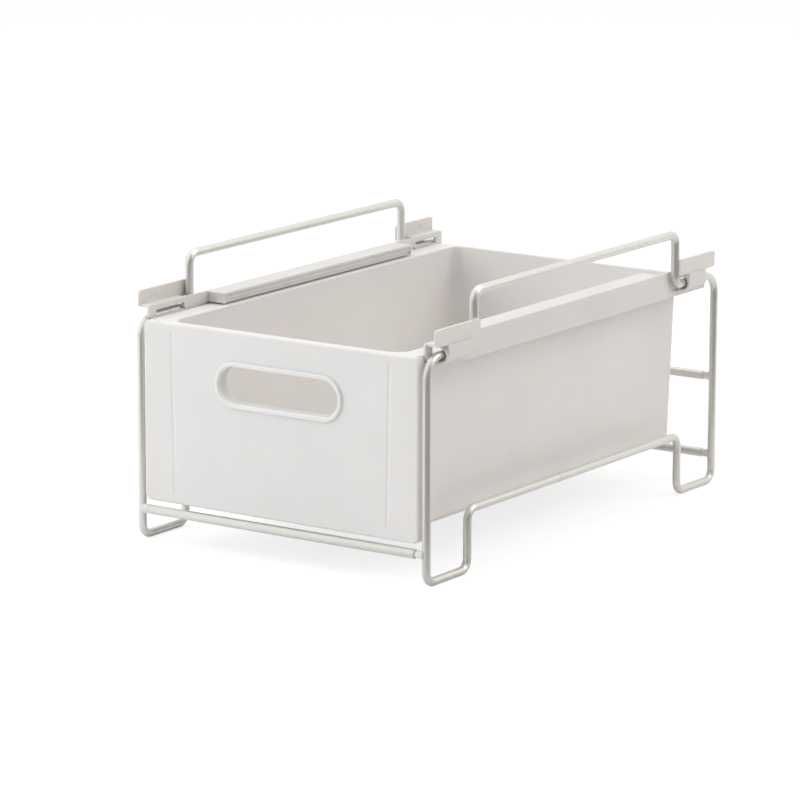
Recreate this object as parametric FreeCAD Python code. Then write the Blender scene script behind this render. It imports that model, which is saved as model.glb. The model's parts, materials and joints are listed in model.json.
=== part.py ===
import FreeCAD, Part
import math
import os

Vector = FreeCAD.Vector

# Stance of the rack: +X right, -Y front, floor at zero height
leg_pitch_x = 250.0  # between the leg axes, left to right
leg_pitch_y = 392.0  # between the leg axes, front to rear
sleeve_height = 164.0  # floor to the axis of the rail sleeves
runner_height = 46.4  # floor to the axis of the low side run
foot_run = 51.8  # leg axis to the inner upright of a foot

# Bent wires
wire_d = 6.0  # side frame wire
hoop_d = 6.5  # guard hoop wire
leg_bend_r = 14.0
foot_bend_r = 8.0
hoop_bend_r = 8.0
hoop_rise = 39.0  # sleeve axis to the top run of the hoop
bead_setback = 172.8  # front leg axis to the weld bead on the runner
bead_width = 1.8
bead_height = 0.3

# Sleeves that hold the wire ends
wire_fit = 0.05  # radial clearance of a wire end in its bore
mouth_step = 1.25  # widening of a bore at its mouth
mouth_depth = 3.0
mouth_wall = 1.6
mouth_floor = 0.15  # mouth to the ledge below it
sleeve_length = 31.0
insertion_share = 0.494  # of the sleeve's length that each wire end fills
leg_bend_clear = 2.5  # end of the front leg's bend to its sleeve
rear_bend_clear = 8.0  # end of the rear leg's bend to its sleeve
hoop_bend_clear = 3.0  # end of the hoop's bend to the sleeve
shell_step = 0.4  # outer shell beyond the sleeve's barrel
shell_setback = 1.5  # outer shell behind the mouth
shell_drop = 0.5  # outer shell below the sleeve axis
window_low = 1.0  # slot that shows the wire from the inner side, above the sleeve axis
window_high = 5.3
window_margin = 2.0  # slot to the sleeve's inner mouth
window_lead = 4.5  # slot past the sleeve's outer mouth

# Rail plates and channel
rail_wall = 2.0
web_wall = 1.8
web_drop = 3.4  # web below the drawer's ledge
block_lead = 1.0  # sleeve block beyond the leg axis
web_corner_r = 1.5
pocket_gap = 0.2  # hoop to the walls beside it
pocket_end_gap = 1.5  # hoop to the end of its seat
gusset_rise = 2.5  # foot of the front gusset above the sleeve axis
gusset_foot = 1.6
recess_gap = 2.7  # hoop's bend to the edge of the rear recess
recess_depth = 1.0
notch_gap = 0.8  # drawer front's top to the rail over it
plate_overhang = 13.5  # stacking plate ahead of its sleeve
plate_past = 1.0  # stacking plate past the hoop's axis
plate_rise = 10.4  # stacking plate above the ledge
plate_corner_r = 3.0
plate_round = 0.6
dimple_d = 3.0
dimple_depth = 0.4
dimple_setback = 18.5
dimple_height = 5.2
channel_gap = 10.5  # hoop seat to the hold-down channel
channel_round = 0.9
lip_gap = 4.0  # drawer rim to the channel's lip
lip_step = 1.2  # lip's face to the skirt behind it
skirt_gap = 1.0  # drawer rim to the channel's skirt and end walls
lift_gap = 7.1  # drawer rim to the channel's roof
lip_groove_width = 1.3
lip_groove_depth = 0.8
lip_groove_drop = 2.2
ledge_gap = 2.8  # drawer wall to the ledge's inner edge
stop_gap = 2.85  # drawer front to the ledge that stops it

# Drawer
flange_width = 14.3
flange_thickness = 2.6
flange_side_gap = 2.0  # flange to the rail's clips
flange_corner_r = 6.0
rib_thickness = 2.5
rib_depth = 2.35
rib_gap = 0.25  # running clearance over the ledge
tub_wall = 2.5
tub_floor = 2.5
tub_draft_angle = 1.45
tub_front_r = 12.0
tub_rear_r = 8.0
tub_foot_r = 4.0
tub_lift = 3.0  # tub's underside above the front's lower edge
tub_rear_gap = 14.5  # rear leg axis to the tub's rear rim
rim_round = 1.0
panel_lead = 3.35  # front face ahead of the leg axis
panel_depth = 7.5
panel_sheet = 2.6
panel_return = 2.2
panel_side_gap = 1.8  # front's edge to the leg wire
panel_tube_gap = 3.7  # front's lower edge to the cross tube
panel_corner_r = 4.5
panel_round = 2.0
groove_width = 4.0
groove_depth = 0.35
groove_top_inset = 27.0
groove_foot_inset = 29.0
groove_top_drop = 6.5
groove_foot_rise = 9.0

# Hand hole and its trim ring
hole_width = 104.0
hole_height = 27.0
hole_drop = 38.7  # rim to the middle of the hand hole
bezel_width = 3.75
bezel_rise = 1.8
bezel_round = 1.5
trim_wall = 1.4
trim_fit = 0.1
trim_tail = 0.85  # lining past the tub's inner face

# Cross tubes and their end plugs
tube_d = 7.0
tube_wall = 0.8
front_tube_height = 23.8
front_tube_lead = 1.6  # front tube ahead of the leg axis
rear_upper_tube_height = 83.6
rear_lower_tube_height = 22.8
plug_reach = 5.2  # leg wire to the tube's end
plug_shank = 10.0
plug_neck_d = 4.4
plug_neck_length = 1.5
plug_nub_d = 6.0
plug_nub_round = 1.0
plug_cap_gap = 0.3  # tube's left end to the wide plug in it
plug_cap_round = 0.3
plug_saddle_back = 1.0  # nub's end to the leg axis

# How far a cut runs past the face that it opens
overrun = 1.0

# Places that follow from the sizes above
wire_r = wire_d / 2
hoop_r = hoop_d / 2
tube_r = tube_d / 2
side_r = max(wire_r, hoop_r)
leg_x = leg_pitch_x / 2
rear_reach = max(wire_r, tube_r)
front_y = (panel_lead + bezel_rise - leg_pitch_y - rear_reach) / 2
rear_y = front_y + leg_pitch_y
middle_y = (front_y + rear_y) / 2

wire_bore_r = wire_r + wire_fit
hoop_bore_r = hoop_r + wire_fit
mouth_r = max(wire_bore_r, hoop_bore_r) + mouth_step
sleeve_r = mouth_r + mouth_wall
sleeve_start = front_y + leg_bend_r + leg_bend_clear
sleeve_end = sleeve_start + sleeve_length
rear_sleeve_start = front_y + leg_bend_r + rear_bend_clear
hoop_y = sleeve_end + hoop_bend_r + hoop_bend_clear
channel_start = hoop_y + hoop_r + pocket_end_gap + channel_gap

ledge_top = sleeve_height - mouth_r - mouth_floor
ledge_bottom = ledge_top - rail_wall
web_out = leg_x - side_r - pocket_gap
web_in = web_out - web_wall
web_bottom = ledge_bottom - web_drop
plate_in = leg_x + side_r + pocket_gap
plate_out = plate_in + rail_wall
block_out = leg_x + block_lead

rib_bottom = ledge_top + rib_gap
flange_bottom = rib_bottom + rib_depth
rim_top = flange_bottom + flange_thickness
flange_out = web_in - flange_side_gap
tub_half_top = flange_out - flange_width
panel_front = front_y - panel_lead
panel_back = panel_front + panel_depth
panel_half = leg_x - wire_r - panel_side_gap
panel_bottom = front_tube_height + tube_r + panel_tube_gap
tub_bottom = panel_bottom + tub_lift
tub_rear = rear_y - tub_rear_gap
draft = math.tan(math.radians(tub_draft_angle))

ledge_in = tub_half_top + ledge_gap
ledge_start = panel_back + stop_gap
lip_in = ledge_in - rail_wall
roof_bottom = rim_top + lift_gap
roof_top = roof_bottom + rail_wall
slab_bottom = roof_bottom
stack_top = roof_top
lip_bottom = rim_top + lip_gap
hole_z = rim_top - hole_drop
tube_end = leg_x - wire_r - plug_reach


def box(x0, x1, y0, y1, z0, z1):
    """Block between two opposite corners."""
    return Part.makeBox(x1 - x0, y1 - y0, z1 - z0, Vector(x0, y0, z0))


def rod_x(radius, x0, x1, y, z):
    """Cylinder that runs left to right."""
    return Part.makeCylinder(radius, x1 - x0, Vector(x0, y, z), Vector(1, 0, 0))


def rod_y(radius, x, z, y0, y1):
    """Cylinder that runs front to rear."""
    return Part.makeCylinder(radius, y1 - y0, Vector(x, y0, z), Vector(0, 1, 0))


def rod_z(radius, x, y, z0, z1):
    """Upright cylinder."""
    return Part.makeCylinder(radius, z1 - z0, Vector(x, y, z0), Vector(0, 0, 1))


def other_side(shape):
    """The same piece on the left of the rack."""
    return shape.mirror(Vector(0, 0, 0), Vector(1, 0, 0))


def other_end(shape):
    """The same feature at the rear of the rack."""
    return shape.mirror(Vector(0, middle_y, 0), Vector(0, 1, 0))


def joined(solids):
    """One solid from several that meet."""
    return solids[0].multiFuse(solids[1:]).removeSplitter()


def bend(before, corner, after, radius):
    """Start, middle and end of the arc that rounds a corner."""
    back = (before - corner).normalize()
    ahead = (after - corner).normalize()
    half_turn = (math.pi - back.getAngle(ahead)) / 2
    setback = radius * math.tan(half_turn)
    inward = (back + ahead).normalize()
    middle = corner + inward * (radius / math.cos(half_turn) - radius)
    return corner + back * setback, middle, corner + ahead * setback


def bent_wire(points, bend_radii, wire_radius):
    """Round wire along straight runs joined by tangent arcs."""
    edges = []
    run_start = points[0]
    for before, corner, after, radius in zip(points, points[1:], points[2:], bend_radii):
        start, middle, end = bend(before, corner, after, radius)
        edges.append(Part.LineSegment(run_start, start).toShape())
        edges.append(Part.Arc(start, middle, end).toShape())
        run_start = end
    edges.append(Part.LineSegment(run_start, points[-1]).toShape())
    section = Part.Wire(Part.makeCircle(wire_radius, points[0], points[1] - points[0]))
    return Part.Wire(edges).makePipeShell([section], True, False)


def outline(points, corner_radii):
    """Closed outline with rounded corners; a corner of radius zero stays sharp."""
    count = len(points)
    bends = []
    for i in range(count):
        bends.append(bend(points[i - 1], points[i], points[(i + 1) % count], corner_radii[i]))
    edges = []
    for i in range(count):
        start, middle, end = bends[i]
        if corner_radii[i] > 0:
            edges.append(Part.Arc(start, middle, end).toShape())
        edges.append(Part.LineSegment(end, bends[(i + 1) % count][0]).toShape())
    return Part.Wire(edges)


def slab(wire, direction):
    """Flat plate of a closed outline."""
    return Part.Face(wire).extrude(direction)


def stadium(width, height, y0, y1):
    """Round-ended block along Y, centred on the hand hole."""
    r = height / 2
    half = width / 2 - r
    top = hole_z + r
    foot = hole_z - r
    right = Part.Arc(Vector(half, y0, top), Vector(half + r, y0, hole_z), Vector(half, y0, foot))
    left = Part.Arc(Vector(-half, y0, foot), Vector(-half - r, y0, hole_z), Vector(-half, y0, top))
    edges = [
        Part.LineSegment(Vector(-half, y0, top), Vector(half, y0, top)).toShape(),
        right.toShape(),
        Part.LineSegment(Vector(half, y0, foot), Vector(-half, y0, foot)).toShape(),
        left.toShape(),
    ]
    return slab(Part.Wire(edges), Vector(0, y1 - y0, 0))


def insertion(start):
    """How far each wire end goes into a sleeve that begins at a given place."""
    return (sleeve_end - start) * insertion_share


def side_frame():
    """Right side frame: leg, foot, runner, foot and leg in one wire, ends in the sleeves."""
    front_foot = front_y + foot_run
    rear_foot = rear_y - foot_run
    front_tip = sleeve_start + insertion(sleeve_start)
    rear_tip = front_y + rear_y - rear_sleeve_start - insertion(rear_sleeve_start)
    route = [
        (front_tip, sleeve_height),
        (front_y, sleeve_height),
        (front_y, wire_r),
        (front_foot, wire_r),
        (front_foot, runner_height),
        (rear_foot, runner_height),
        (rear_foot, wire_r),
        (rear_y, wire_r),
        (rear_y, sleeve_height),
        (rear_tip, sleeve_height),
    ]
    points = [Vector(leg_x, y, z) for y, z in route]
    radii = [leg_bend_r] + [foot_bend_r] * (len(points) - 4) + [leg_bend_r]
    wire = bent_wire(points, radii, wire_r)
    bead_start = front_y + bead_setback - bead_width / 2
    bead = rod_y(wire_r + bead_height, leg_x, runner_height, bead_start, bead_start + bead_width)
    rims = [edge for edge in bead.Edges if len(edge.Vertexes) == 1]
    return joined([wire, bead.makeFillet(bead_height, rims)])


def guard_hoop():
    """Right guard hoop, both ends turned into the inner mouths of the sleeves."""
    top = sleeve_height + hoop_rise
    rear_hoop_y = front_y + rear_y - hoop_y
    front_tip = sleeve_end - insertion(sleeve_start)
    rear_tip = front_y + rear_y - sleeve_end + insertion(rear_sleeve_start)
    route = [
        (front_tip, sleeve_height),
        (hoop_y, sleeve_height),
        (hoop_y, top),
        (rear_hoop_y, top),
        (rear_hoop_y, sleeve_height),
        (rear_tip, sleeve_height),
    ]
    points = [Vector(leg_x, y, z) for y, z in route]
    return bent_wire(points, [hoop_bend_r] * (len(points) - 2), hoop_r)


def sleeve(start):
    """Bored block that takes the leg's end at one mouth and the hoop's end at the other."""
    middle = (start + sleeve_end) / 2
    barrel = rod_y(sleeve_r, leg_x, sleeve_height, start, sleeve_end)
    block = box(web_in, block_out, start, sleeve_end, ledge_bottom, stack_top)
    shell = box(leg_x, leg_x + sleeve_r + shell_step, start + shell_setback, sleeve_end,
                sleeve_height - shell_drop, slab_bottom)
    cuts = [
        rod_y(wire_bore_r, leg_x, sleeve_height, start - overrun, middle),
        rod_y(hoop_bore_r, leg_x, sleeve_height, middle, sleeve_end + overrun),
        rod_y(mouth_r, leg_x, sleeve_height, start - overrun, start + mouth_depth),
        rod_y(mouth_r, leg_x, sleeve_height, sleeve_end - mouth_depth, sleeve_end + overrun),
    ]
    window = box(web_in - overrun, leg_x, start - window_lead, sleeve_end - window_margin,
                 sleeve_height + window_low, sleeve_height + window_high)
    return joined([barrel, block, shell]).cut(cuts), window


def stacking_plate(start):
    """Upright plate that locates the foot of a rack stacked on top."""
    end = hoop_y + plate_past
    top = stack_top + plate_rise
    corners = [(start, slab_bottom), (end, slab_bottom), (end, top), (start, top)]
    points = [Vector(plate_in, y, z) for y, z in corners]
    wire = outline(points, [plate_corner_r, 0, plate_corner_r, plate_corner_r])
    plate = slab(wire, Vector(rail_wall, 0, 0))
    edges = [edge for edge in plate.Edges if edge.BoundBox.ZMax > stack_top]
    edges = [edge for edge in edges if edge.BoundBox.XLength < rail_wall / 2]
    plate = plate.makeFillet(plate_round, edges)
    dimple_z = stack_top + dimple_height
    dimple_y = start + dimple_setback
    dimple = rod_x(dimple_d / 2, plate_in - overrun, plate_in + dimple_depth, dimple_y, dimple_z)
    return plate.cut(dimple)


def gusset():
    """Leaning wall from the sleeve's inner mouth up to the end of the stacking plate."""
    foot = sleeve_height + gusset_rise
    corners = [(sleeve_end, foot), (sleeve_end + gusset_foot, foot), (hoop_y + plate_past, stack_top),
               (sleeve_end, stack_top)]
    points = [Vector(plate_in, y, z) for y, z in corners]
    return slab(Part.makePolygon(points + points[:1]), Vector(rail_wall, 0, 0))


def clip(start):
    """Sleeve, stacking ledge, stacking plate and web at one end of the right rail."""
    bored, window = sleeve(start)
    outer = start - plate_overhang
    corners = [(outer, web_bottom), (channel_start, web_bottom), (channel_start, stack_top), (outer, stack_top)]
    points = [Vector(web_in, y, z) for y, z in corners]
    web = slab(outline(points, [0, 0, 0, web_corner_r]), Vector(web_wall, 0, 0))
    solids = [
        bored,
        box(web_in, plate_out, outer + web_corner_r, sleeve_end, slab_bottom, stack_top),
        stacking_plate(outer),
        web,
    ]
    return joined(solids).cut(window)


def front_clip():
    """Front end of the right rail, cut away over the corner of the drawer's front."""
    outer = sleeve_start - plate_overhang
    notch = box(web_in - overrun, web_out + overrun, outer - overrun, ledge_start,
                web_bottom - overrun, rim_top + notch_gap)
    return joined([clip(sleeve_start), gusset()]).cut(notch)


def rear_clip():
    """Rear end of the right rail, with a shallow recess around the hoop's bend."""
    bend_y = hoop_y - hoop_bend_r
    bend_z = sleeve_height + hoop_bend_r
    reach = hoop_bend_r + hoop_r + recess_gap
    recess = rod_x(reach, web_out - recess_depth, web_out + overrun, bend_y, bend_z)
    kept = box(web_in, plate_out + overrun, bend_y - reach, sleeve_end, bend_z - reach, bend_z + reach)
    return other_end(clip(rear_sleeve_start).cut(recess.cut(kept)))


def channel():
    """Hold-down channel over the drawer's flange: ledge, web, roof, inner lip and skirt."""
    skirt_in = lip_in + lip_step
    skirt_out = skirt_in + rail_wall
    skirt_foot = rim_top + skirt_gap
    groove_top = roof_top - lip_groove_drop
    groove_foot = groove_top - lip_groove_width
    groove_x = lip_in + lip_groove_depth
    section = [
        (ledge_in, ledge_bottom), (web_in, ledge_bottom), (web_in, web_bottom), (web_out, web_bottom),
        (web_out, roof_top), (lip_in, roof_top),
        (lip_in, groove_top), (groove_x, groove_top), (groove_x, groove_foot), (lip_in, groove_foot),
        (lip_in, lip_bottom), (skirt_in, lip_bottom), (skirt_in, skirt_foot), (skirt_out, skirt_foot),
        (skirt_out, roof_bottom), (web_in, roof_bottom),
        (web_in, ledge_top), (ledge_in, ledge_top),
    ]
    channel_end = front_y + rear_y - channel_start
    points = [Vector(x, channel_start, z) for x, z in section]
    run = Vector(0, channel_end - channel_start, 0)
    body = slab(Part.makePolygon(points + points[:1]), run)
    wall_edge = [(lip_in, skirt_foot), (web_in, skirt_foot), (web_in, roof_top), (lip_in, roof_top)]
    points = [Vector(x, channel_start, z) for x, z in wall_edge]
    wall = slab(Part.makePolygon(points + points[:1]), Vector(0, rail_wall, 0))
    body = joined([body, wall, other_end(wall)])
    top = [edge for edge in body.Edges if edge.BoundBox.ZMin > roof_top - channel_round
           and edge.BoundBox.XMin < web_in]
    corner = [edge for edge in body.Edges if edge.BoundBox.XMax < lip_in + channel_round / 2
              and edge.BoundBox.ZLength > edge.BoundBox.YLength
              and edge.BoundBox.ZMax > roof_top - channel_round]
    return body.makeFillet(channel_round, top + corner)


def rail():
    """Right rail in one moulding: a clip at each end, the ledge, the web and the channel."""
    rear_end = front_y + rear_y - rear_sleeve_start + plate_overhang
    solids = [
        channel(),
        front_clip(),
        rear_clip(),
        box(ledge_in, web_in, ledge_start, rear_end, ledge_bottom, ledge_top),
    ]
    return joined(solids)


def tub_wire(inset, z):
    """Outline of the tapering tub at a height, set in by its wall for the inside."""
    taper = (rim_top - z) * draft
    half = tub_half_top - taper - inset
    rear = tub_rear - taper - inset
    front = panel_back - panel_return
    if inset > 0:
        front = panel_back
    corners = [(-half, front), (half, front), (half, rear), (-half, rear)]
    front_r = tub_front_r + tub_wall - inset
    rear_r = tub_rear_r + tub_wall - inset
    points = [Vector(x, y, z) for x, y in corners]
    return outline(points, [front_r, front_r, rear_r, rear_r])


def tub_block(inset, bottom, top, foot_r):
    """Tapering block with a rounded lower edge."""
    block = Part.makeLoft([tub_wire(inset, bottom), tub_wire(inset, top)], True, True)
    low = [edge for edge in block.Edges if edge.BoundBox.ZMax < (bottom + top) / 2]
    return block.makeFillet(foot_r, low)


def front_panel():
    """Wide drawer front: a rounded sheet with side returns and a closed top, open below."""
    corners = [(-panel_half, panel_bottom), (panel_half, panel_bottom),
               (panel_half, rim_top), (-panel_half, rim_top)]
    points = [Vector(x, panel_front, z) for x, z in corners]
    sheet = slab(outline(points, [panel_corner_r] * 4), Vector(0, panel_depth, 0))
    face = [edge for edge in sheet.Edges if edge.BoundBox.YMax < panel_front + panel_depth / 2]
    sheet = sheet.makeFillet(panel_round, face)
    inner = panel_half - panel_return
    hollow = box(-inner, inner, panel_front + panel_sheet, panel_back + overrun,
                 panel_bottom - overrun, flange_bottom)
    return sheet.cut(hollow)


def panel_groove():
    """Faint leaning crease pressed into the right of the front."""
    top = rim_top - groove_top_drop
    foot = panel_bottom + groove_foot_rise
    lean = groove_foot_inset - groove_top_inset
    left = panel_half - groove_foot_inset
    right = left + groove_width
    middle = (left + right) / 2
    section = [(left, panel_front - overrun), (right, panel_front - overrun), (right, panel_front),
               (middle, panel_front + groove_depth), (left, panel_front)]
    points = [Vector(x, y, foot) for x, y in section]
    return slab(Part.makePolygon(points + points[:1]), Vector(lean, 0, top - foot))


def drawer():
    """Drawer in one moulding: tub, flanges with runner ribs and the hollow-backed front."""
    flange_front = panel_back - panel_return
    corners = [(-flange_out, flange_front), (flange_out, flange_front),
               (flange_out, tub_rear), (-flange_out, tub_rear)]
    points = [Vector(x, y, flange_bottom) for x, y in corners]
    flange = slab(outline(points, [flange_corner_r] * 4), Vector(0, 0, flange_thickness))
    rib = box(flange_out - rib_thickness, flange_out, flange_front + flange_corner_r,
              tub_rear - flange_corner_r, rib_bottom, flange_bottom)
    tub = tub_block(0, tub_bottom, rim_top, tub_foot_r)
    inside = tub_block(tub_wall, tub_bottom + tub_floor, rim_top + overrun, tub_foot_r)
    hole_w = hole_width + 2 * (trim_wall + trim_fit)
    hole_h = hole_height + 2 * (trim_wall + trim_fit)
    hole = stadium(hole_w, hole_h, panel_front - overrun, panel_back + overrun)
    groove = panel_groove()
    body = joined([tub, flange, rib, other_side(rib), front_panel()])
    body = body.cut([inside, hole, groove, other_side(groove)])
    rim = [edge for edge in body.Edges if edge.BoundBox.ZMin > rim_top - rim_round / 2
           and edge.BoundBox.XMax < tub_half_top
           and edge.BoundBox.XMin > -tub_half_top
           and edge.BoundBox.YMin > panel_back - rim_round / 2
           and edge.BoundBox.YMax < tub_rear - tub_wall / 2]
    return body.makeFillet(rim_round, rim)


def hand_hole_trim():
    """Rounded ring on the front with a lining through both walls of the hand hole."""
    ring_front = panel_front - bezel_rise
    ring_w = hole_width + 2 * bezel_width
    ring_h = hole_height + 2 * bezel_width
    ring = stadium(ring_w, ring_h, ring_front, panel_front)
    lining = stadium(hole_width + 2 * trim_wall, hole_height + 2 * trim_wall,
                     ring_front + bezel_round, panel_back + trim_tail)
    opening = stadium(hole_width, hole_height, ring_front - overrun, panel_back + trim_tail + overrun)
    body = joined([ring, lining]).cut(opening)
    lips = [edge for edge in body.Edges if edge.BoundBox.YMax < ring_front + bezel_round / 2]
    return body.makeFillet(bezel_round, lips)


def cross_tube(y, z):
    """Thin steel tube across the rack."""
    outer = rod_x(tube_r, -tube_end, tube_end, y, z)
    return outer.cut(rod_x(tube_r - tube_wall, -tube_end - overrun, tube_end + overrun, y, z))


def end_plug(y, leg_y, z, nub_d, neck_length, shoulder_round):
    """Plug in the right end of a tube: shank, neck, and a nub that saddles the leg wire."""
    neck_end = tube_end + neck_length
    nub_end = leg_x - plug_saddle_back
    nub = rod_x(nub_d / 2, neck_end, nub_end, y, z)
    middle = (neck_end + nub_end) / 2
    shoulder = [edge for edge in nub.Edges if edge.BoundBox.XMax < middle]
    nub = nub.makeFillet(shoulder_round, shoulder)
    tip = [edge for edge in nub.Edges if edge.BoundBox.XMin > middle]
    nub = nub.makeFillet(plug_nub_round, tip)
    leg = rod_z(wire_r + wire_fit, leg_x, leg_y, z - nub_d, z + nub_d)
    solids = [
        rod_x(tube_r - tube_wall - wire_fit, tube_end - plug_shank, tube_end, y, z),
        rod_x(plug_neck_d / 2, tube_end - neck_length, neck_end + neck_length, y, z),
        nub,
    ]
    return joined(solids).cut(leg)


nodes = {
    "drawer": drawer(),
    "hand_hole_trim": hand_hole_trim(),
}
for name, piece in (("side_frame", side_frame()), ("guard_hoop", guard_hoop()), ("rail", rail())):
    nodes["right_" + name] = piece
    nodes["left_" + name] = other_side(piece)
for name, leg_y, lead, z in (
    ("front", front_y, front_tube_lead, front_tube_height),
    ("rear_upper", rear_y, 0, rear_upper_tube_height),
    ("rear_lower", rear_y, 0, rear_lower_tube_height),
):
    y = leg_y - lead
    plug = end_plug(y, leg_y, z, plug_nub_d, plug_neck_length, plug_nub_round)
    cap = end_plug(y, leg_y, z, tube_d, plug_cap_gap, plug_cap_round)
    nodes[name + "_cross_tube"] = cross_tube(y, z)
    nodes[name + "_tube_right_plug"] = plug
    nodes[name + "_tube_left_plug"] = other_side(cap)

os.makedirs("parts", exist_ok=True)
for name, shape in nodes.items():
    shape.exportStep("parts/" + name + ".step")
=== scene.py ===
"""Looks of a pull-out drawer in a bent-wire rack: finishes, studio and camera.

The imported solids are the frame. A length whose name ends in _mm is in millimetres and is brought
to metres where it is used. The places of the lamps, the camera and the floor are in metres.
"""

from __future__ import annotations

import json
import logging
import math
from dataclasses import dataclass
from enum import Enum
from typing import Any, Mapping, Sequence, Union

import bmesh
import bpy
from mathutils import Matrix, Vector

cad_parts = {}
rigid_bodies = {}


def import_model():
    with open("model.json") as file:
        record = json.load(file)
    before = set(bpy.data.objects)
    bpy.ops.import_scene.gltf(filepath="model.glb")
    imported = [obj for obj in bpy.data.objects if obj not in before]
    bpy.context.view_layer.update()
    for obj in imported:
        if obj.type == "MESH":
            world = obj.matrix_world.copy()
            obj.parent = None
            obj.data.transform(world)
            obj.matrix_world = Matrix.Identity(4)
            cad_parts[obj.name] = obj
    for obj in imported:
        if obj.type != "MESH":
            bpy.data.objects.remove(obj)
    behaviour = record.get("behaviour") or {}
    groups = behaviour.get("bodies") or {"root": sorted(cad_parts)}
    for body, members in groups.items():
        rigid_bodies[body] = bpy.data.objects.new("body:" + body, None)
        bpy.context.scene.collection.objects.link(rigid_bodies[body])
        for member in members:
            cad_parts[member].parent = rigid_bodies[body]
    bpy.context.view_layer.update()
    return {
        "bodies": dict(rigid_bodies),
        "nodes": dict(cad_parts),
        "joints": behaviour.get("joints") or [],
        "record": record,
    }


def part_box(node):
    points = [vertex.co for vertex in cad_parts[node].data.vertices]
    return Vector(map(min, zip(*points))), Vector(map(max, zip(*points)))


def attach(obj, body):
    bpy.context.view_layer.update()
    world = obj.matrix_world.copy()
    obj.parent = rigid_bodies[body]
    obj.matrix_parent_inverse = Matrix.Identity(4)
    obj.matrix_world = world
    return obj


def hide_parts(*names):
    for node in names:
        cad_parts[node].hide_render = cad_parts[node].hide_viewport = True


LOG = logging.getLogger("organizer")
MM = 0.001
WHITE = (1.0, 1.0, 1.0)
NOISE_MIDDLE = 0.5
NOISE_GAIN = 0.55
QUAD_SIDES = 4
Colour = tuple[float, float, float]
Place = tuple[float, float, float]
Band = tuple[float, float]


class Slot(Enum):
    """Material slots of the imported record."""

    DRAWER = "drawer_plastic"
    TRIM = "trim_plastic"
    RAIL = "rail_plastic"
    PLUG = "plug_plastic"
    STEEL = "coated_steel"


class Body(Enum):
    """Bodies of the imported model."""

    RACK = "rack"
    DRAWER = "drawer"


class Side(Enum):
    """Sides of the rack, as the nodes spell them."""

    LEFT = "left"
    RIGHT = "right"


class Ray(Enum):
    """Kinds of ray that see the surround in their own way."""

    EYE = "Is Camera Ray"
    MIRRORED = "Is Glossy Ray"
    THROUGH = "Is Transmission Ray"


class Signal:
    """A shader socket that takes part in Python arithmetic."""

    def __init__(self, graph: FinishGraph, socket: bpy.types.NodeSocket) -> None:
        """Wrap an output socket of a graph."""
        self.graph = graph
        self.socket = socket

    def _math(self, operation: str, first: Operand, second: Operand) -> Signal:
        """Result of a Math node on two values or sockets."""
        return self.graph.node("ShaderNodeMath", {"operation": operation}, {0: first, 1: second})

    def __add__(self, other: Operand) -> Signal:
        """Sum with a value on the right."""
        return self._math("ADD", self, other)

    __radd__ = __add__

    def __sub__(self, other: Operand) -> Signal:
        """Difference with a value on the right."""
        return self._math("SUBTRACT", self, other)

    def __rsub__(self, other: Operand) -> Signal:
        """Difference with a value on the left."""
        return self._math("SUBTRACT", other, self)

    def __mul__(self, other: Operand) -> Signal:
        """Product with a value on the right."""
        return self._math("MULTIPLY", self, other)

    __rmul__ = __mul__

    def band(self, low: float, high: float) -> Signal:
        """Smooth step from 0 at the low value to 1 at the high one."""
        inputs = {0: self, 1: low, 2: high, 3: 0.0, 4: 1.0}
        return self.graph.node("ShaderNodeMapRange", {"interpolation_type": "SMOOTHSTEP"}, inputs)


Operand = Union[Signal, float]


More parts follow.
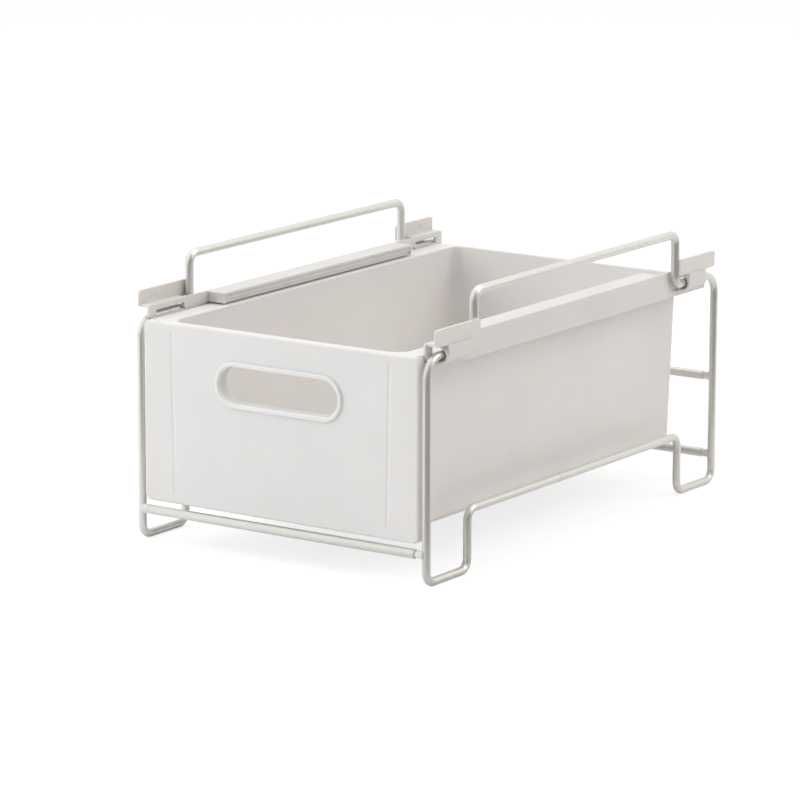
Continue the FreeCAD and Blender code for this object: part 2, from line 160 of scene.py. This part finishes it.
class FinishGraph:
    """Node graph of one material."""

    def __init__(self, name: str) -> None:
        """Make an empty material.

        Args:
            name: Name of the material.
        """
        self.material = bpy.data.materials.new(name)
        self.material.use_nodes = True
        self.tree = self.material.node_tree
        self.tree.nodes.clear()
        self.output = self.tree.nodes.new("ShaderNodeOutputMaterial")

    def node(
        self,
        kind: str,
        settings: Mapping[str, Any] | None = None,
        inputs: Mapping[Any, Any] | None = None,
        output: int | str = 0,
    ) -> Signal:
        """Add a node.

        Args:
            kind: Node type.
            settings: Properties that are set before the sockets.
            inputs: Values or signals of the sockets, by index or name.
            output: Output that is wanted.

        Returns:
            The wanted output as a signal.
        """
        made = self.tree.nodes.new(kind)
        for key, value in (settings or {}).items():
            setattr(made, key, value)
        for key, value in (inputs or {}).items():
            if isinstance(value, Signal):
                self.tree.links.new(value.socket, made.inputs[key])
            else:
                made.inputs[key].default_value = value
        return Signal(self, made.outputs[output])

    def finish(self, shader: Signal) -> bpy.types.Material:
        """Join a shader to the output and give the material back."""
        self.tree.links.new(shader.socket, self.output.inputs["Surface"])
        return self.material

    def place(self) -> Signal:
        """Object coordinates, which are metres in the frame of the solids."""
        return self.node("ShaderNodeTexCoord", output="Object")

    def noise(self, place: Signal, size_mm: float, octaves: float) -> Signal:
        """Noise of a given grain.

        Args:
            place: Coordinates to read.
            size_mm: Size of a grain.
            octaves: Finer layers in it.

        Returns:
            Noise from 0 to 1.
        """
        inputs = {
            "Vector": place,
            "Scale": 1.0 / (size_mm * MM),
            "Detail": octaves,
            "Roughness": NOISE_GAIN,
        }
        return self.node("ShaderNodeTexNoise", None, inputs)

    def blend(self, factor: Operand, first: Any, second: Any) -> Signal:
        """Mix of two colours or signals, by the share of the second."""
        inputs = {"Factor": factor, 6: rgba(first), 7: rgba(second)}
        return self.node("ShaderNodeMix", {"data_type": "RGBA"}, inputs, 2)

    def bump(self, height: Signal, strength: float, depth_mm: float) -> Signal:
        """Normal of a surface with a fine relief."""
        inputs = {"Strength": strength, "Distance": depth_mm * MM, "Height": height}
        return self.node("ShaderNodeBump", None, inputs)

    def ray(self, kind: Ray) -> Signal:
        """1 for the rays of a kind and 0 for the others."""
        return self.node("ShaderNodeLightPath", output=kind.value)

    def by_ray(self, lit: Signal, mirrored: Signal, seen: Signal) -> Signal:
        """Choose a shader by what looks at it.

        Args:
            lit: Shader that lights the object.
            mirrored: Shader that shows in reflections.
            seen: Shader that the camera sees.

        Returns:
            The shader for all rays.
        """
        inputs = {0: self.ray(Ray.MIRRORED), 1: lit, 2: mirrored}
        unseen = self.node("ShaderNodeMixShader", None, inputs)
        direct = self.ray(Ray.EYE) + self.ray(Ray.THROUGH)
        return self.node("ShaderNodeMixShader", None, {0: direct, 1: unseen, 2: seen})


class WorldGraph(FinishGraph):
    """Node graph of the surround."""

    def __init__(self, world: bpy.types.World) -> None:
        """Take over the nodes of a world.

        Args:
            world: World to set up.
        """
        self.material = None
        self.tree = world.node_tree
        self.tree.nodes.clear()
        self.output = self.tree.nodes.new("ShaderNodeOutputWorld")

    def glow(self, colour: Any, strength: float) -> Signal:
        """Background of a colour or signal."""
        inputs = {"Color": rgba(colour), "Strength": strength}
        return self.node("ShaderNodeBackground", None, inputs)


def rgba(colour: Any) -> Any:
    """Colour with full alpha; a signal passes through."""
    return colour if isinstance(colour, Signal) else (*colour, 1.0)


def grey(tone: float) -> Colour:
    """Colour of one tone in all channels."""
    return (tone, tone, tone)


@dataclass(frozen=True)
class MouldedPlastic:
    """Moulded white plastic: spark-eroded grain, faint flow marks and slight yellowing."""

    name: str
    colour: Colour
    shade: Colour
    roughness: float
    grain_mm: float
    grain_depth_mm: float
    flow_mm: float
    specular: float
    milky: float = 0.20
    milky_mm: float = 1.2
    milky_reach: Colour = (1.0, 0.80, 0.60)
    flow_octaves: float = 3.0
    flow_band: Band = (0.30, 0.70)
    flow_roughness: float = 0.10
    grain_octaves: float = 2.0
    grain_strength: float = 0.5
    grain_roughness: float = 0.08

    def tint(self, graph: FinishGraph, place: Signal, flow: Signal) -> Signal:
        """Colour over the surface, which follows the flow marks."""
        return graph.blend(flow.band(*self.flow_band), self.colour, self.shade)

    def build(self) -> bpy.types.Material:
        """Make the material.

        Returns:
            The material.
        """
        graph = FinishGraph(self.name)
        place = graph.place()
        flow = graph.noise(place, self.flow_mm, self.flow_octaves)
        grain = graph.noise(place, self.grain_mm, self.grain_octaves)
        flow_wear = self.flow_roughness * (flow - NOISE_MIDDLE)
        grain_wear = self.grain_roughness * (grain - NOISE_MIDDLE)
        inputs = {
            "Base Color": self.tint(graph, place, flow),
            "Roughness": self.roughness + flow_wear + grain_wear,
            "Normal": graph.bump(grain, self.grain_strength, self.grain_depth_mm),
            "Specular IOR Level": self.specular,
            "Subsurface Weight": self.milky,
            "Subsurface Radius": self.milky_reach,
            "Subsurface Scale": self.milky_mm * MM,
        }
        return graph.finish(graph.node("ShaderNodeBsdfPrincipled", None, inputs))


@dataclass(frozen=True)
class TrimWithPaintedBoreShade(MouldedPlastic):
    """Polished ring whose bore, behind the front, gets painted shade: its colour darkens there to
    stand in for the shade inside the hand hole.
    """

    # Painted shade: darker colour of the bore, standing in for the shade inside the hand hole.
    bore_painted_shade: Colour = (0.660, 0.640, 0.615)
    painted_shade_front_mm: float = -198.6
    painted_shade_back_mm: float = -196.6

    def tint(self, graph: FinishGraph, place: Signal, flow: Signal) -> Signal:
        """Colour that turns to a painted shade on the bore behind the front.

        Args:
            graph: Graph to add to.
            place: Coordinates.
            flow: Flow marks.

        Returns:
            The colour.
        """
        # Painted shade: the colour darkens from the ring's front to its back, where the hand hole
        # is in shade.
        depth = graph.node("ShaderNodeSeparateXYZ", None, {0: place}, "Y")
        behind = depth.band(self.painted_shade_front_mm * MM, self.painted_shade_back_mm * MM)
        return graph.blend(behind, super().tint(graph, place, flow), self.bore_painted_shade)


@dataclass(frozen=True)
class CoatedSteel:
    """Steel under a thin pearly coat with a faint orange-peel surface."""

    name: str
    colour: Colour
    shade: Colour
    metallic: float
    roughness: float
    peel_mm: float
    peel_depth_mm: float
    coat: float
    coat_roughness: float = 0.12
    cloud_mm: float = 40.0
    cloud_octaves: float = 3.0
    cloud_band: Band = (0.30, 0.70)
    cloud_roughness: float = 0.06
    peel_octaves: float = 1.0
    peel_strength: float = 0.4
    fleck_mm: float = 0.35
    fleck_octaves: float = 1.0
    fleck_roughness: float = 0.03

    def build(self) -> bpy.types.Material:
        """Make the material.

        Returns:
            The material.
        """
        graph = FinishGraph(self.name)
        place = graph.place()
        cloud = graph.noise(place, self.cloud_mm, self.cloud_octaves)
        peel = graph.noise(place, self.peel_mm, self.peel_octaves)
        fleck = graph.noise(place, self.fleck_mm, self.fleck_octaves)
        cloud_wear = self.cloud_roughness * (cloud - NOISE_MIDDLE)
        fleck_wear = self.fleck_roughness * (fleck - NOISE_MIDDLE)
        inputs = {
            "Base Color": graph.blend(cloud.band(*self.cloud_band), self.colour, self.shade),
            "Metallic": self.metallic,
            "Roughness": self.roughness + cloud_wear + fleck_wear,
            "Normal": graph.bump(peel, self.peel_strength, self.peel_depth_mm),
            "Coat Weight": self.coat,
            "Coat Roughness": self.coat_roughness,
        }
        return graph.finish(graph.node("ShaderNodeBsdfPrincipled", None, inputs))


@dataclass(frozen=True)
class Finishes:
    """The finishes of the whole object, one for each material slot."""

    drawer: MouldedPlastic = MouldedPlastic(
        name="drawer_plastic",
        colour=(0.800, 0.788, 0.776),
        shade=(0.782, 0.768, 0.754),
        roughness=0.46,
        grain_mm=0.45,
        grain_depth_mm=0.03,
        flow_mm=60.0,
        specular=0.40,
        milky=0.5,
        milky_mm=2.5,
    )
    trim: TrimWithPaintedBoreShade = TrimWithPaintedBoreShade(
        name="trim_plastic",
        colour=(0.820, 0.815, 0.805),
        shade=(0.800, 0.793, 0.780),
        roughness=0.22,
        grain_mm=0.60,
        grain_depth_mm=0.01,
        flow_mm=40.0,
        specular=0.55,
    )
    rail: MouldedPlastic = MouldedPlastic(
        name="rail_plastic",
        colour=(0.735, 0.718, 0.700),
        shade=(0.712, 0.694, 0.674),
        roughness=0.40,
        grain_mm=0.45,
        grain_depth_mm=0.02,
        flow_mm=35.0,
        specular=0.45,
        milky=0.5,
        milky_mm=2.5,
    )
    plug: MouldedPlastic = MouldedPlastic(
        name="plug_plastic",
        colour=(0.800, 0.790, 0.770),
        shade=(0.780, 0.768, 0.745),
        roughness=0.38,
        grain_mm=0.45,
        grain_depth_mm=0.02,
        flow_mm=12.0,
        specular=0.45,
    )
    steel: CoatedSteel = CoatedSteel(
        name="coated_steel",
        colour=(0.745, 0.733, 0.692),
        shade=(0.728, 0.715, 0.672),
        metallic=0.55,
        roughness=0.32,
        peel_mm=3.0,
        peel_depth_mm=0.002,
        coat=0.12,
    )

    def materials(self) -> dict[Slot, bpy.types.Material]:
        """Build every finish.

        Returns:
            The materials by slot.
        """
        return {
            Slot.DRAWER: self.drawer.build(),
            Slot.TRIM: self.trim.build(),
            Slot.RAIL: self.rail.build(),
            Slot.PLUG: self.plug.build(),
            Slot.STEEL: self.steel.build(),
        }


@dataclass(frozen=True)
class SoftEdges:
    """Small radius that moulding leaves on the outer edges of a solid."""

    radius_mm: float
    groove_sink_mm: float = 0.0
    groove_length_mm: float = 50.0
    groove_degrees: float = 21.0
    valley_degrees: float = 18.5
    crease_degrees: float = 40.0
    flat_degrees: float = 0.3
    weld_mm: float = 0.001
    segments: int = 2
    shading_weight: int = 100

    def copy(self, node: bpy.types.Object, name: str) -> bpy.types.Object:
        """Make a merged copy of a solid with rounded outer edges.

        Args:
            node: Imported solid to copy.
            name: Name of the copy.

        Returns:
            The copy, not yet dressed.
        """
        bm = bmesh.new()
        bm.from_mesh(node.data)
        self._merge(bm)
        crease = math.radians(self.crease_degrees)
        outer = [edge for edge in bm.edges if edge.is_convex and edge.calc_face_angle(0.0) > crease]
        self._sharpen(bm)
        bmesh.ops.bevel(
            bm,
            geom=outer,
            offset=self.radius_mm * MM,
            offset_type="OFFSET",
            affect="EDGES",
            segments=self.segments,
            profile=0.5,
            material=-1,
            clamp_overlap=False,
        )
        low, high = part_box(node.name)
        for vert in bm.verts:
            vert.co = [min(max(v, least), most) for v, least, most in zip(vert.co, low, high)]
        for face in bm.faces:
            face.smooth = True
        mesh = bpy.data.meshes.new(name)
        bm.to_mesh(mesh)
        bm.free()
        piece = bpy.data.objects.new(name, mesh)
        bpy.context.scene.collection.objects.link(piece)
        weighted = piece.modifiers.new("even_shading", "WEIGHTED_NORMAL")
        weighted.mode = "FACE_AREA"
        weighted.weight = self.shading_weight
        weighted.keep_sharp = True
        return piece

    def _merge(self, bm: bmesh.types.BMesh) -> None:
        """Join the loose triangles of a solid and take out its flat edges.

        Args:
            bm: Mesh to change.
        """
        bmesh.ops.remove_doubles(bm, verts=bm.verts, dist=self.weld_mm * MM)
        flat = math.radians(self.flat_degrees)
        bmesh.ops.dissolve_limit(bm, angle_limit=flat, verts=bm.verts, edges=bm.edges)
        wide = [face for face in bm.faces if len(face.verts) > QUAD_SIDES]
        bmesh.ops.triangulate(bm, faces=wide, quad_method="BEAUTY", ngon_method="BEAUTY")

    def _sharpen(self, bm: bmesh.types.BMesh) -> None:
        """Keep the inner edges crisp and press long shallow grooves a little deeper.

        Args:
            bm: Mesh to change.
        """
        valley = math.radians(self.valley_degrees)
        steep = math.radians(self.groove_degrees)
        grooves = []
        for edge in bm.edges:
            angle = edge.calc_face_angle(0.0)
            edge.smooth = edge.is_convex or angle < valley
            long = edge.calc_length() > self.groove_length_mm * MM
            if long and not edge.smooth and angle < steep:
                grooves.append(edge)
        for edge in grooves:
            outward = sum((face.normal for face in edge.link_faces), Vector()).normalized()
            sink = -outward * self.groove_sink_mm * MM
            bmesh.ops.translate(bm, vec=sink, verts=edge.verts)


@dataclass
class SubAssembly:
    """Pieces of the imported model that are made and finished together."""

    frame: Mapping[str, Any]
    materials: Mapping[Slot, bpy.types.Material]

    def show(self, name: str, slot: Slot) -> None:
        """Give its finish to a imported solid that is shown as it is.

        Args:
            name: Node of the solid.
            slot: Material slot.
        """
        shown = self.frame["nodes"][name]
        shown.data.materials.clear()
        shown.data.materials.append(self.materials[slot])
        LOG.info("%s: shown in %s", name, slot.value)

    def soften(self, name: str, slot: Slot, body: Body, edges: SoftEdges) -> None:
        """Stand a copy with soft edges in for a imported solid.

        Args:
            name: Node of the solid.
            slot: Material slot.
            body: Body that the solid moves with.
            edges: Radius of its edges.
        """
        piece = edges.copy(self.frame["nodes"][name], name + "_moulding")
        piece.data.materials.append(self.materials[slot])
        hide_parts(name)
        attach(piece, body.value)
        LOG.info("%s: %d faces in %s", piece.name, len(piece.data.polygons), slot.value)


@dataclass
class PullOutDrawer(SubAssembly):
    """Tub with its wide front, and the ring that trims the hand hole."""

    tub_edges: SoftEdges = SoftEdges(radius_mm=0.45, groove_sink_mm=0.30)

    def build(self) -> None:
        """Make and dress the drawer."""
        self.soften("drawer", Slot.DRAWER, Body.DRAWER, self.tub_edges)
        self.show("hand_hole_trim", Slot.TRIM)


@dataclass
class TopRails(SubAssembly):
    """Left and right rails with their sleeves, stacking plates and hold-down channels."""

    rail_edges: SoftEdges = SoftEdges(radius_mm=0.20)

    def build(self) -> None:
        """Make and dress both rails."""
        for side in Side:
            self.soften(side.value + "_rail", Slot.RAIL, Body.RACK, self.rail_edges)


@dataclass
class BentWires(SubAssembly):
    """Side frames and guard hoops."""

    wires: tuple[str, ...] = ("side_frame", "guard_hoop")

    def build(self) -> None:
        """Dress the four bent wires."""
        for side in Side:
            for wire in self.wires:
                self.show(f"{side.value}_{wire}", Slot.STEEL)


@dataclass
class CrossTubes(SubAssembly):
    """Three tubes across the rack and the plug in each of their ends."""

    tubes: tuple[str, ...] = ("front", "rear_upper", "rear_lower")

    def build(self) -> None:
        """Dress the tubes and the plugs."""
        for tube in self.tubes:
            self.show(tube + "_cross_tube", Slot.STEEL)
            for side in Side:
                self.show(f"{tube}_tube_{side.value}_plug", Slot.PLUG)


@dataclass(frozen=True)
class SoftLamp:
    """Square soft lamp."""

    name: str
    place: Place
    watts: float
    size: float
    colour: Colour
    mirrored: bool = True

    def hang(self, scene: bpy.types.Scene, aim: Place) -> None:
        """Hang the lamp so that it faces the object.

        Args:
            scene: Scene to light.
            aim: Place that the lamp faces.
        """
        lamp = bpy.data.lights.new(self.name, "AREA")
        lamp.shape = "SQUARE"
        lamp.size = self.size
        lamp.energy = self.watts
        lamp.color = self.colour
        hung = bpy.data.objects.new(self.name, lamp)
        hung.location = self.place
        hung.visible_glossy = self.mirrored
        facing = Vector(aim) - Vector(self.place)
        hung.rotation_euler = facing.to_track_quat("-Z", "Y").to_euler()
        scene.collection.objects.link(hung)


@dataclass(frozen=True)
class PhotoCamera:
    """Camera at the photograph's place, turn and focal length. Angles are in degrees."""

    place: Place = (1.8286, -2.723775, 0.7988)
    azimuth: float = 34.3216
    elevation: float = 12.2844
    roll: float = 0.12845
    focal_px: float = 4492.15
    image_px: float = 800.0
    sensor_mm: float = 36.0
    sight: float = 100.0

    def stand(self, scene: bpy.types.Scene) -> None:
        """Put the camera in a scene.

        Args:
            scene: Scene that is looked at.
        """
        azimuth = math.radians(self.azimuth)
        elevation = math.radians(self.elevation)
        roll = math.radians(self.roll)
        flat = math.cos(elevation)
        back = Vector((math.sin(azimuth) * flat, -math.cos(azimuth) * flat, math.sin(elevation)))
        right = Vector((math.cos(azimuth), math.sin(azimuth), 0.0))
        up = back.cross(right)
        across = right * math.cos(roll) + up * math.sin(roll)
        upward = up * math.cos(roll) - right * math.sin(roll)
        lens = bpy.data.cameras.new("camera")
        lens.sensor_fit = "HORIZONTAL"
        lens.sensor_width = self.sensor_mm
        lens.lens = self.sensor_mm * self.focal_px / self.image_px
        lens.clip_end = self.sight
        camera = bpy.data.objects.new("camera", lens)
        turn = Matrix((across, upward, back)).transposed()
        camera.matrix_world = Matrix.Translation(self.place) @ turn.to_4x4()
        scene.collection.objects.link(camera)
        scene.camera = camera


@dataclass(frozen=True)
class DimRoom:
    """Unlit side of the studio, right of the camera, which gives the wires their dark streak; on
    the floor it is painted shade that shows in reflections.
    """

    turn: float = 24.0
    mirrored: float = 0.08
    lit: float = 0.40
    sky_spread: Band = (0.45, 0.95)
    floor_spread: Band = (0.08, 0.40)

    def towards(self, graph: FinishGraph, place: Signal, camera: PhotoCamera) -> Signal:
        """How far a place or direction lies towards the room.

        Args:
            graph: Graph to add to.
            place: Coordinates or direction.
            camera: Camera that the room is turned from.

        Returns:
            The distance along the floor.
        """
        azimuth = math.radians(camera.azimuth + self.turn)
        inputs = {0: place, 1: (math.sin(azimuth), -math.cos(azimuth), 0.0)}
        return graph.node("ShaderNodeVectorMath", {"operation": "DOT_PRODUCT"}, inputs, "Value")

    def fall(self, graph: FinishGraph, distance: Signal, spread: Band, dark: float) -> Signal:
        """White that falls off to the room's tone over a spread of distances."""
        return graph.blend(distance.band(*spread), WHITE, grey(dark))


@dataclass
class Studio:
    """Pale floor, white surround, soft lamps and the camera."""

    floor_radius: float = 14.0
    floor_sides: int = 96
    floor_tone: float = 0.86
    floor_seen: float = 0.34
    floor_glow: float = 0.76
    cloud_mm: float = 900.0
    cloud_octaves: float = 2.0
    cloud_tint: Colour = (0.99, 0.99, 0.985)
    world_light: float = 0.62
    room: DimRoom = DimRoom()
    camera: PhotoCamera = PhotoCamera()
    aim: Place = (0.0, 0.0, 0.09)
    lamps: tuple[SoftLamp, ...] = (
        SoftLamp("key_lamp", (-1.2, -1.25, 1.4), 25.5, 2.0, (0.945, 0.975, 1.0), mirrored=False),
        SoftLamp("fill_lamp", (1.7, 0.9, 1.6), 17.5, 1.8, (1.0, 0.95, 0.90)),
        SoftLamp("top_lamp", (-0.2, 0.5, 2.3), 13.0, 2.2, (1.0, 0.98, 0.96)),
    )

    def build(self) -> None:
        """Set up everything around the object."""
        scene = bpy.context.scene
        scene.view_settings.view_transform = "Standard"
        self._world(scene)
        self._floor(scene)
        for lamp in self.lamps:
            lamp.hang(scene, self.aim)
        self.camera.stand(scene)

    def _world(self, scene: bpy.types.Scene) -> None:
        """Surround that is white to the eye, dims towards the room and lights softly.

        Args:
            scene: Scene to surround.
        """
        world = bpy.data.worlds.new("studio")
        world.use_nodes = True
        graph = WorldGraph(world)
        direction = graph.node("ShaderNodeTexCoord", output="Generated")
        distance = self.room.towards(graph, direction, self.camera)
        dim = self.room.fall(graph, distance, self.room.sky_spread, self.room.mirrored)
        weak = self.room.fall(graph, distance, self.room.sky_spread, self.room.lit)
        lit = graph.glow(weak, self.world_light)
        graph.finish(graph.by_ray(lit, graph.glow(dim, 1.0), graph.glow(WHITE, 1.0)))
        scene.world = world

    def _paint(self) -> bpy.types.Material:
        """Floor paint that looks near white and keeps the object's shadow.

        Returns:
            The material.
        """
        graph = FinishGraph("floor")
        place = graph.place()
        cloud = graph.noise(place, self.cloud_mm, self.cloud_octaves)
        clouded = tuple(self.floor_tone * share for share in self.cloud_tint)
        colour = graph.blend(cloud, grey(self.floor_tone), clouded)
        lit = graph.node("ShaderNodeBsdfDiffuse", None, {"Color": colour})
        # Painted shade: in reflections the floor's colour darkens towards the dim room, standing in
        # for the unlit side of the studio.
        distance = self.room.towards(graph, place, self.camera)
        dim = self.room.fall(graph, distance, self.room.floor_spread, self.room.mirrored)
        mirrored = graph.node("ShaderNodeBsdfDiffuse", None, {"Color": dim})
        shaded = graph.node("ShaderNodeBsdfDiffuse", None, {"Color": rgba(grey(self.floor_seen))})
        inputs = {"Color": rgba(WHITE), "Strength": self.floor_glow}
        glow = graph.node("ShaderNodeEmission", None, inputs)
        seen = graph.node("ShaderNodeAddShader", None, {0: shaded, 1: glow})
        return graph.finish(graph.by_ray(lit, mirrored, seen))

    def _floor(self, scene: bpy.types.Scene) -> None:
        """Round pale floor.

        Args:
            scene: Scene that stands on it.
        """
        bm = bmesh.new()
        bmesh.ops.create_circle(
            bm, cap_ends=True, segments=self.floor_sides, radius=self.floor_radius
        )
        mesh = bpy.data.meshes.new("floor")
        bm.to_mesh(mesh)
        bm.free()
        mesh.materials.append(self._paint())
        floor = bpy.data.objects.new("floor", mesh)
        scene.collection.objects.link(floor)


def main() -> None:
    """Build the classes in order."""
    logging.basicConfig(level=logging.INFO, format="%(name)s %(message)s")
    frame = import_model()
    materials = Finishes().materials()
    for group in (PullOutDrawer, TopRails, BentWires, CrossTubes):
        group(frame, materials).build()
    Studio().build()


if __name__ == "__main__":
    main()
